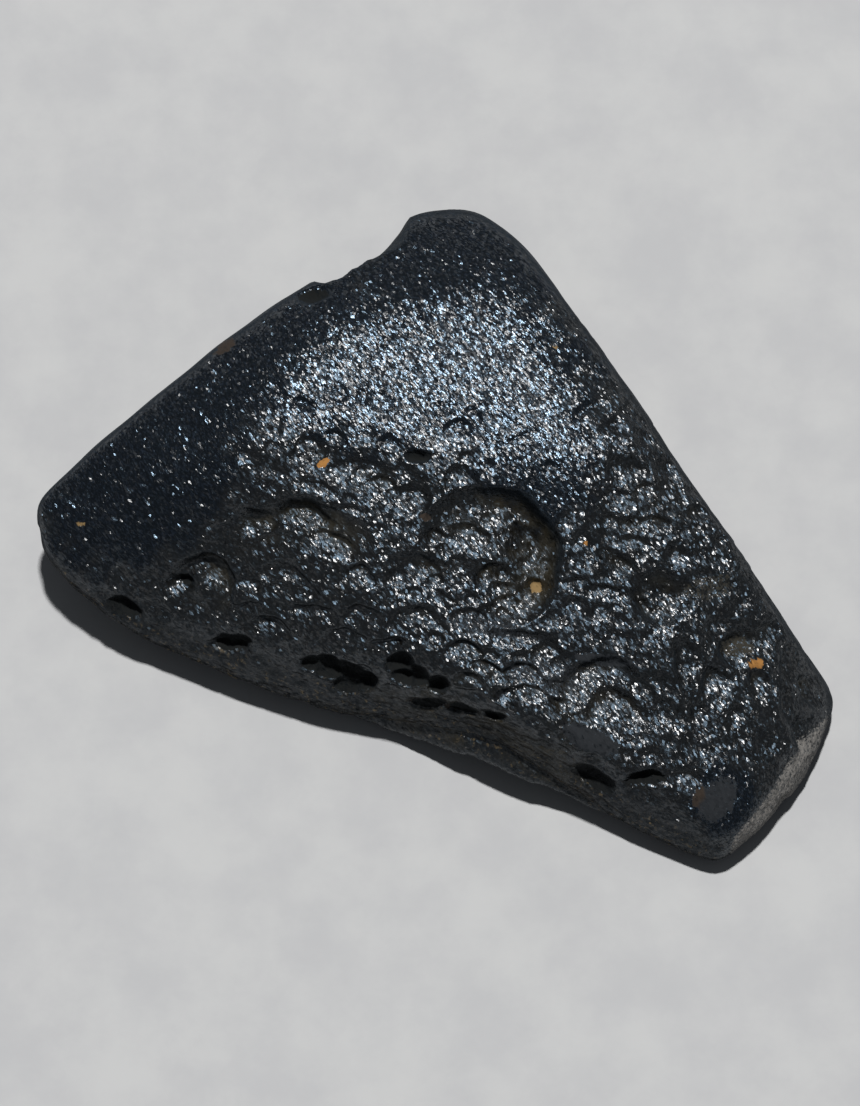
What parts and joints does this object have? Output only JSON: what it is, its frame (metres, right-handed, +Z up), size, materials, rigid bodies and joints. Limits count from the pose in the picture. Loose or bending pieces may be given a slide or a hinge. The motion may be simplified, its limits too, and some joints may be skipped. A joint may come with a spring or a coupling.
{
  "type": "tektite",
  "caption": "Black natural-glass stone, a flat wedge with a smooth crown and pitted faces, lying on a small flat spot.",
  "frame": {"origin": "centre of the bounding box, at the surface that the stone lies on", "axes": "+X along the stone's longest side of its box, towards the thin right tip; +Z up from the resting spot; +Y away from the steep pitted front"},
  "size_m": [0.05, 0.0408, 0.0144],
  "materials": {
    "glass_skin": "opaque black natural glass, satin with a fine sparkle, brown soil traces in the pits"
  },
  "bodies": {
    "root": {"tektite": "glass_skin"}
  },
  "joints": []
}
